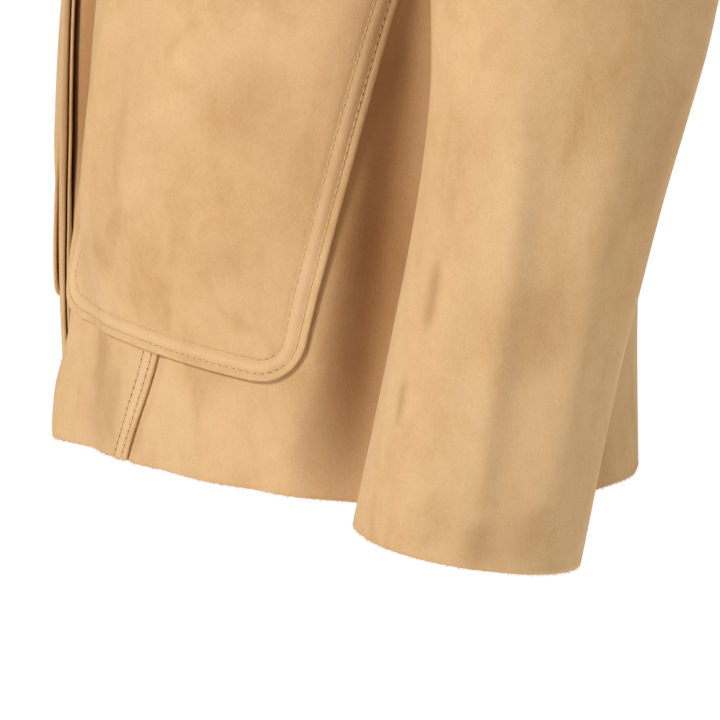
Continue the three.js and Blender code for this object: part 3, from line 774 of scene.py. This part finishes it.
def startMaterial(name):
    material = bpy.data.materials.new(name)
    material.use_nodes = True
    tree = material.node_tree
    shader = tree.nodes["Principled BSDF"]
    return material, Shade(tree, None), shader


def feed(shader, key, shade):
    shade.tree.links.new(shade.socket, shader.inputs[key])


# The dark brown here serves rusty blotches, raw edges and nap marks, and also the painted shade beside the sleeve and
# beside the left pocket
suedeLook = {
    "light": (0.68, 0.440, 0.225, 1), "deep": (0.53, 0.305, 0.125, 1), "rustAndShade": (0.30, 0.128, 0.042, 1),
    "pale": (0.74, 0.490, 0.270, 1), "roughness": 0.95, "sheen": 0.12, "sheenRoughness": 0.5,
    "sheenTint": (1.0, 0.74, 0.45, 1), "napBump": 0.5,
}


# Suede: broad and small blotches of brushed nap, fine grain, paler sewn bands painted as a highlight, darker raw
# edges, and painted shade carried by the worn attribute
def makeSuede(name):
    look = suedeLook
    material, s, shader = startMaterial(name)
    place = s.make("ShaderNodeTexCoord", output=3)
    broad = s.noise(place, 9.0, 2.0, 0.5, 0.6)
    brushed = s.noise(s.stretched(place, (1.0, 1.0, 0.45)), 34.0, 3.0, 0.55, 0.8)
    mottled = s.noise(place, 130.0, 3.0, 0.6)
    nap = s.noise(place, 900.0, 3.0, 0.65)
    grain = s.noise(place, 2600.0, 2.0, 0.6)
    dark = s.make("ShaderNodeAttribute", {"attribute_name": "worn"}, output=2)
    band = s.make("ShaderNodeAttribute", {"attribute_name": "band"}, output=2)
    tone = broad.ramp(0.38, 0.68) * 0.40 + brushed.ramp(0.42, 0.74) * 0.34 + mottled.ramp(0.30, 0.78) * 0.22
    tone = tone + (nap - 0.5) * 0.85 + (grain - 0.5) * 0.60
    colour = tone.make("ShaderNodeMath", {"operation": "MULTIPLY", "use_clamp": True}, {0: tone, 1: 1.0})
    base = colour.blend(look["light"], look["deep"])
    rusty = brushed.ramp(0.58, 0.80) * 0.12
    base = rusty.blend(base, look["rustAndShade"])
    # Darkening from the worn attribute: raw-edge wear, brushed nap marks and painted shade
    base = (dark * (0.75 + nap * 0.25)).blend(base, look["rustAndShade"])
    # Paler colour on the padded band between the stitch rows: a painted highlight
    base = (band * 0.45).blend(base, look["pale"])
    feed(shader, "Base Color", base)
    shader.inputs["Roughness"].default_value = look["roughness"]
    shader.inputs["Sheen Weight"].default_value = look["sheen"]
    shader.inputs["Sheen Roughness"].default_value = look["sheenRoughness"]
    shader.inputs["Sheen Tint"].default_value = look["sheenTint"]
    shader.inputs["Specular IOR Level"].default_value = 0.12
    height = nap * 0.6 + grain * 0.4 + mottled * 0.5
    bump = s.make("ShaderNodeBump", {}, {"Strength": look["napBump"], "Distance": 0.0006, "Height": height})
    feed(shader, "Normal", bump)
    return material


threadLook = {"light": (0.74, 0.52, 0.29, 1), "dark": (0.50, 0.31, 0.14, 1), "twist": 0.35}


# Thread: fine diagonal twist and small tonal changes
def makeThread():
    material, s, shader = startMaterial("thread")
    place = s.make("ShaderNodeTexCoord", output=3)
    twist = s.make("ShaderNodeTexWave", {"wave_type": "BANDS", "bands_direction": "DIAGONAL"},
                   {"Vector": place, "Scale": 520.0, "Distortion": 1.5, "Detail": 1.0}, 1)
    tone = s.noise(place, 160.0)
    shade = (twist * 0.6 + tone * 0.4).ramp(0.2, 0.9)
    feed(shader, "Base Color", shade.blend(threadLook["dark"], threadLook["light"]))
    shader.inputs["Roughness"].default_value = 0.7
    feed(shader, "Normal", s.make("ShaderNodeBump", {}, {
        "Strength": threadLook["twist"], "Distance": 0.0002, "Height": twist}))
    return material


# Needle hole: dark brown, a little uneven
def makeHole():
    material, s, shader = startMaterial("needle_hole")
    place = s.make("ShaderNodeTexCoord", output=3)
    tone = s.noise(place, 300.0)
    feed(shader, "Base Color", tone.blend((0.16, 0.075, 0.028, 1), (0.26, 0.13, 0.05, 1)))
    shader.inputs["Roughness"].default_value = 1.0
    return material


# Horn: brown with long paler streaks and a soft polish
def makeHorn():
    material, s, shader = startMaterial("horn")
    place = s.make("ShaderNodeTexCoord", output=3)
    streak = s.noise(s.stretched(place, (1.0, 1.0, 0.16)), 420.0, 4.0, 0.6, 1.2)
    cloudy = s.noise(place, 120.0, 2.0)
    tone = (streak * 0.65 + cloudy * 0.35).ramp(0.34, 0.68)
    feed(shader, "Base Color", tone.blend((0.085, 0.040, 0.020, 1), (0.34, 0.19, 0.095, 1)))
    feed(shader, "Roughness", 0.3 + tone * 0.15)
    shader.inputs["Coat Weight"].default_value = 0.2
    feed(shader, "Normal", s.make("ShaderNodeBump", {}, {
        "Strength": 0.15, "Distance": 0.0003, "Height": streak}))
    return material


suede, thread, needleHole, horn = makeSuede("suede"), makeThread(), makeHole(), makeHorn()
print("materials made")

# How dark the raw edges go, by distance from the edge in millimetres
edgeForm = {"reach": 1.6, "dark": 0.10}

# Brushed marks on the nap, and two marks of painted shade on the body: from and to as (turn or degrees round, height),
# width, strength
napMarksAndShade = {
    # (86, -370, 72, -655) is painted shade in the side trough beside the sleeve; (7.5, -370, 6, -548) is painted shade
    # in the strip between the right front's edge and the left pocket
    "body": [(15, -570, 12, -630, 10, 0.30), (20, -585, 17, -625, 7, 0.32), (86, -370, 72, -655, 27, 0.78),
             (7.5, -370, 6, -548, 17, 0.85), (80, -430, 82, -560, 16, 0.20),
             (66, -585, 64, -632, 7, 0.20), (50, -575, 40, -596, 10, 0.16),
             (-20, -575, -17, -625, 9, 0.30), (-78, -430, -74, -560, 18, 0.35), (120, -400, 112, -610, 20, 0.25),
             (160, -450, 176, -520, 26, 0.22), (-150, -380, -140, -470, 24, 0.22), (-165, -560, -150, -615, 16, 0.25)],
    "sleeve": [(64, -515, 62, -548, 4.0, 0.55), (71, -566, 69, -590, 3.0, 0.45), (12, -628, 9, -650, 8, 0.35),
               (-14, -622, -10, -648, 9, 0.28), (38, -618, 30, -640, 12, 0.18), (3, -520, -2, -570, 9, 0.25),
               (50, -440, 62, -500, 14, 0.14), (-40, -430, -44, -500, 8, 0.25), (150, -420, 158, -520, 14, 0.30),
               (-100, -360, -92, -430, 12, 0.30), (100, -350, 90, -420, 10, 0.25)],
    "pocket": [(140, 150, 128, 105, 16, 0.30), (40, 44, 70, 34, 12, 0.25), (70, 60, 84, 54, 7, 0.25),
               (30, 150, 32, 110, 9, 0.15), (150, 60, 130, 40, 12, 0.14), (100, 110, 90, 92, 10, 0.10)],
}


def napWearAndShade(kind, across, up, scale=1.0):
    rows = [(a * scale, b, c * scale, d, w, s, 0) for a, b, c, d, w, s in napMarksAndShade[kind]]
    return np.clip(foldRise(rows, across * scale, up), 0, 0.8)


# Body nap marks, including the painted shade beside the sleeve and beside the left pocket
def bodyWearAndShade(piece):
    return napWearAndShade("body", piece["turn"] / deg, piece["height"], bodyFolds["alongTurn"])


def rawEdge(piece):
    grid = piece["point"]
    gone = np.cumsum(np.linalg.norm(np.diff(grid, axis=0), axis=-1), 0)
    gone = np.concatenate([np.zeros((1, grid.shape[1])), gone])
    return edgeForm["dark"] * np.exp(-(gone / edgeForm["reach"]) ** 2)


panelSewing = {"stitchRows": (3.4, 9.9), "rowDepth": 0.3, "bandLift": 0.25}


# Centre panel's sewn edge: relief by distance in from the last column
def sewnPanel(piece):
    grid = piece["point"][:, ::-1]
    gone = np.cumsum(np.linalg.norm(np.diff(grid, axis=1), axis=-1), 1)
    gone = np.concatenate([np.zeros((len(grid), 1)), gone], 1)[:, ::-1]
    relief, band = sewnRelief(gone, panelSewing["stitchRows"], panelSewing["rowDepth"], panelSewing["bandLift"])
    below = 1 - eased(rowsForm["bodyRows"] - 0.6, rowsForm["bodyRows"] + 0.2, piece["rows"])
    piece["point"] = piece["point"] + piece["normal"] * (relief * below)[..., None]
    return band * below


made = {}
fringe = []          # raw edges as (points, outward normals, directions off the edge)


def hemFringe(piece):
    fringe.append((piece["point"][0], piece["normal"][0], unit(piece["point"][0] - piece["point"][1])))


for word, front in fronts.items():
    rows = spread((0, 0.35, 6), (0.35, 14, 120), (14, frontRows, 34))
    s = spread((0, 0.04, 3), (0.04, 0.9, 46), (0.9, 1, 15))
    piece = centreSurface(word, s, rows)
    piece["rows"] = rows[:, None] + 0 * s[None, :]
    band = sewnPanel(piece)
    name = f"front_{word}_centre"
    made[name] = clothShell(f"{name}_suede", piece, cloth["wall"], suede,
                            {"band": band, "worn": rawEdge(piece) + bodyWearAndShade(piece)})
    cutOf(made[name], piece, name)
    hemFringe(piece)
    below14 = int((rows <= rowsForm["bodyRows"]).sum())
    sew(f"seam_{word}_stitches", [insetLine(piece, inset, below14) for inset in panelSewing["stitchRows"]],
        thread, needleHole)

    s = spread((0, 0.02, 2), (0.02, 0.5, 20))
    piece = centreSurface(word, s, spread((0, 0.35, 4), (0.35, 14, 90), (14, frontRows, 26)),
                          cloth["wall"] + cloth["facingGap"])
    name = f"facing_{word}"
    made[name] = clothShell(f"{name}_suede", piece, cloth["facingWall"], suede, {"worn": rawEdge(piece)})
    cutOf(made[name], piece, name)

    rows = spread((0, 0.35, 6), (0.35, 14, 130))
    s = spread((0, 0.11, 7), (0.11, 0.3, 14), (0.3, 1, 36))
    piece = sideSurface(word, s, rows)
    name = f"front_{word}_side"
    made[name] = clothShell(f"{name}_suede", piece, cloth["wall"], suede,
                            {"worn": rawEdge(piece) + bodyWearAndShade(piece)})
    cutOf(made[name], piece, name)

    hemFringe(piece)
    piece = pocketSurface(word, spread((0, 0.09, 14), (0.09, 0.91, 70), (0.91, 1, 14)),
                          spread((0, 0.085, 14), (0.085, 1, 90)))
    name = f"pocket_{word}"
    made[name] = clothShell(f"{name}_suede", piece, cloth["wall"], suede, {
        "band": piece["band"], "worn": napWearAndShade("pocket", piece["across"], piece["up"])})
    cutOf(made[name], piece, name)
    print(f"{word} front made")


# Pocket stitch rows: down one side, round the corner, along the foot and up again
def pocketLine(word, inset):
    f = pocketForm
    r = f["corner"] - inset
    a = np.linspace(0, quarter, 24)
    top = f["height"] - 5
    across = np.concatenate([np.full(120, inset), inset + r * (1 - np.cos(a)),
                             np.linspace(f["corner"], f["width"] - f["corner"], 120),
                             f["width"] - inset - r * (1 - np.sin(a)), np.full(120, f["width"] - inset)])
    up = np.concatenate([np.linspace(top, f["corner"], 120), inset + r * (1 - np.sin(a)),
                         np.full(120, inset), inset + r * (1 - np.cos(a)), np.linspace(f["corner"], top, 120)])
    keep = np.concatenate([[True], np.hypot(np.diff(across), np.diff(up)) > 0.05])
    across, up = across[keep], up[keep]
    turn, height, offset = pocketPlace(word, across, up)
    relief, band = sewnRelief(pocketInset(across, up), f["stitchRows"], f["rowDepth"], f["bandLift"])
    return placed(turn, height, offset + relief)


for word in fronts:
    sew(f"pocket_{word}_stitches", [pocketLine(word, inset) for inset in pocketForm["stitchRows"]],
        thread, needleHole)
print("pocket stitches made")

piece = backSurface(spread((0, 1, 130)), spread((0, 0.35, 5), (0.35, 14, 118), (14, 26, 44)))
made["back"] = clothShell("back_suede", piece, cloth["wall"], suede, {"worn": rawEdge(piece) + bodyWearAndShade(piece)})
cutOf(made["back"], piece, "back")
hemFringe(piece)

for word, front in fronts.items():
    seam = sleeveForm["seamDegrees"]
    rows = spread((0, 5, 40), (5, 15.7, 100), (15.7, 16, 6))
    for part, degrees in (("top", spread((-seam, seam, 96))), ("under", spread((seam, 360 - seam, 48)))):
        piece = sleeveSurface(front["side"], degrees, rows)
        name = f"sleeve_{word}_{part}"
        fromCuff = np.cumsum(np.linalg.norm(np.diff(piece["point"][::-1], axis=0), axis=-1), 0)
        fromCuff = np.concatenate([np.zeros((1, len(degrees))), fromCuff])[::-1]
        made[name] = clothShell(f"{name}_suede", piece, cloth["wall"], suede, {
            "worn": edgeForm["dark"] * np.exp(-(fromCuff / edgeForm["reach"]) ** 2)
            + napWearAndShade("sleeve", np.where(piece["degrees"] > 180, piece["degrees"] - 360, piece["degrees"]),
                      piece["height"], sleeveForm["alongDegree"])})
        fringe.append((piece["point"][-1], piece["normal"][-1], unit(piece["point"][-1] - piece["point"][-2])))
        cutOf(made[name], piece, name)
print("back and sleeves made")

fibreForm = {"perMillimetre": 5.0, "longest": 1.9, "thick": 0.15, "spreadOut": 0.75, "seed": 4}


# Fibres of the raw edges: thin three-sided spikes, root, bend and tip, leaning at random off the cut
def makeFibres(name, edges, material):
    f = fibreForm
    random = np.random.default_rng(f["seed"])
    roots, ways = [], []
    for line, normal, away in edges:
        gone = np.concatenate([[0], np.cumsum(np.linalg.norm(np.diff(line, axis=0), axis=-1))])
        count = int(gone[-1] * f["perMillimetre"] * fine)
        at = random.random(count) * gone[-1]
        pick = lambda values: np.stack([np.interp(at, gone, values[:, k]) for k in range(3)], -1)
        deep = random.random((count, 1)) * cloth["wall"]
        out = 0.42 - 0.5 * np.abs(deep / cloth["wall"] - 0.5)
        roots.append(pick(line) - pick(normal) * deep + pick(away) * out)
        ways.append(unit(pick(away) + random.normal(0, f["spreadOut"], (count, 3)) * 0.6))
    root, way = np.concatenate(roots), np.concatenate(ways)
    count = len(root)
    long = (0.25 + 0.75 * random.random((count, 1)) ** 2.2) * f["longest"]
    bend = random.normal(0, 0.35, (count, 3))
    side = unit(np.cross(way, random.normal(0, 1, (count, 3))))
    other = np.cross(way, side)
    a = np.arange(3) * 2 * np.pi / 3
    ring = (side[:, None] * np.cos(a)[None, :, None] + other[:, None] * np.sin(a)[None, :, None]) * f["thick"] / 2
    low = (root - way * 0.3)[:, None] + ring
    middle = (root + way * long * 0.55)[:, None] + ring * 0.7
    tip = (root + way * long + bend * long * 0.5)[:, None]
    points = np.concatenate([low, middle, tip], 1).reshape(-1, 3) * 0.001
    one = [(0, 2, 1)] + [(k, (k + 1) % 3, (k + 1) % 3 + 3, k + 3) for k in range(3)]
    one += [(k + 3, (k + 1) % 3 + 3, 6) for k in range(3)]
    faces = [tuple(v + 7 * m for v in face) for m in range(count) for face in one]
    meshPiece(name, points, faces, material, smooth=False)


makeFibres("edge_fibres", fringe, suede)
print("edge fibres made")

for k in range(4):
    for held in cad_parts[f"button_{k + 1}"].material_slots:
        held.material = horn

# Camera: a long lens at the photograph's angle, set by what it looks at
view = {"target": (0.0031, -0.0184, -0.600), "azimuth": 75.0, "elevation": 8.5, "distance": 2.4,
        "lens": 36 * 4898 / 720}
look = Vector((np.sin(view["azimuth"] * deg) * np.cos(view["elevation"] * deg),
               -np.cos(view["azimuth"] * deg) * np.cos(view["elevation"] * deg),
               np.sin(view["elevation"] * deg)))
cameraData = bpy.data.cameras.new("camera")
cameraData.lens, cameraData.sensor_width = view["lens"], 36
cameraData.clip_end = 100
camera = bpy.data.objects.new("camera", cameraData)
camera.location = Vector(view["target"]) + look * view["distance"]
camera.rotation_euler = look.to_track_quat("Z", "Y").to_euler()
bpy.context.scene.collection.objects.link(camera)
bpy.context.scene.camera = camera

# Pale floor, pale surroundings and soft lamps: name, place, target, size, power
studio = {
    "floorHeight": -2.6, "floorSize": 90.0, "floorGlow": 0.93, "world": 0.12,
    "lamps": [("key", (1.45, -2.5, 1.1), (0.1, 0, -0.5), 0.8, 72),
              ("fill", (3.2, 0.9, 0.6), (0.1, 0, -0.5), 1.4, 9),
              ("top", (0.5, -0.9, 2.4), (0.0, 0, -0.4), 1.0, 10),
              ("behind", (-1.8, 2.6, 0.6), (0.0, 0, -0.4), 1.6, 24)],
}
half = studio["floorSize"] / 2
floorMesh = bpy.data.meshes.new("floor")
floorMesh.from_pydata([(x * half, y * half, studio["floorHeight"]) for x, y in ((-1, -1), (1, -1), (1, 1), (-1, 1))],
                      [], [(0, 1, 2, 3)])
floorMaterial, s, floorShader = startMaterial("floor")
floorShader.inputs["Base Color"].default_value = (0.93, 0.93, 0.93, 1)
floorShader.inputs["Roughness"].default_value = 0.9
floorShader.inputs["Emission Color"].default_value = (1, 1, 1, 1)
floorShader.inputs["Emission Strength"].default_value = studio["floorGlow"]
floorMesh.materials.append(floorMaterial)
floor = bpy.data.objects.new("floor", floorMesh)
bpy.context.scene.collection.objects.link(floor)
world = bpy.data.worlds.new("studio")
world.use_nodes = True
world.node_tree.nodes["Background"].inputs["Color"].default_value = (1, 1, 1, 1)
world.node_tree.nodes["Background"].inputs["Strength"].default_value = studio["world"]
bpy.context.scene.world = world
for name, place, target, size, power in studio["lamps"]:
    lamp = bpy.data.lights.new(name, "AREA")
    lamp.shape, lamp.size, lamp.energy = "DISK", size, power
    lit = bpy.data.objects.new(name, lamp)
    lit.location = place
    lit.rotation_euler = (Vector(place) - Vector(target)).to_track_quat("Z", "Y").to_euler()
    bpy.context.scene.collection.objects.link(lit)
bpy.context.scene.view_settings.view_transform = "Standard"
print("camera and lights set")
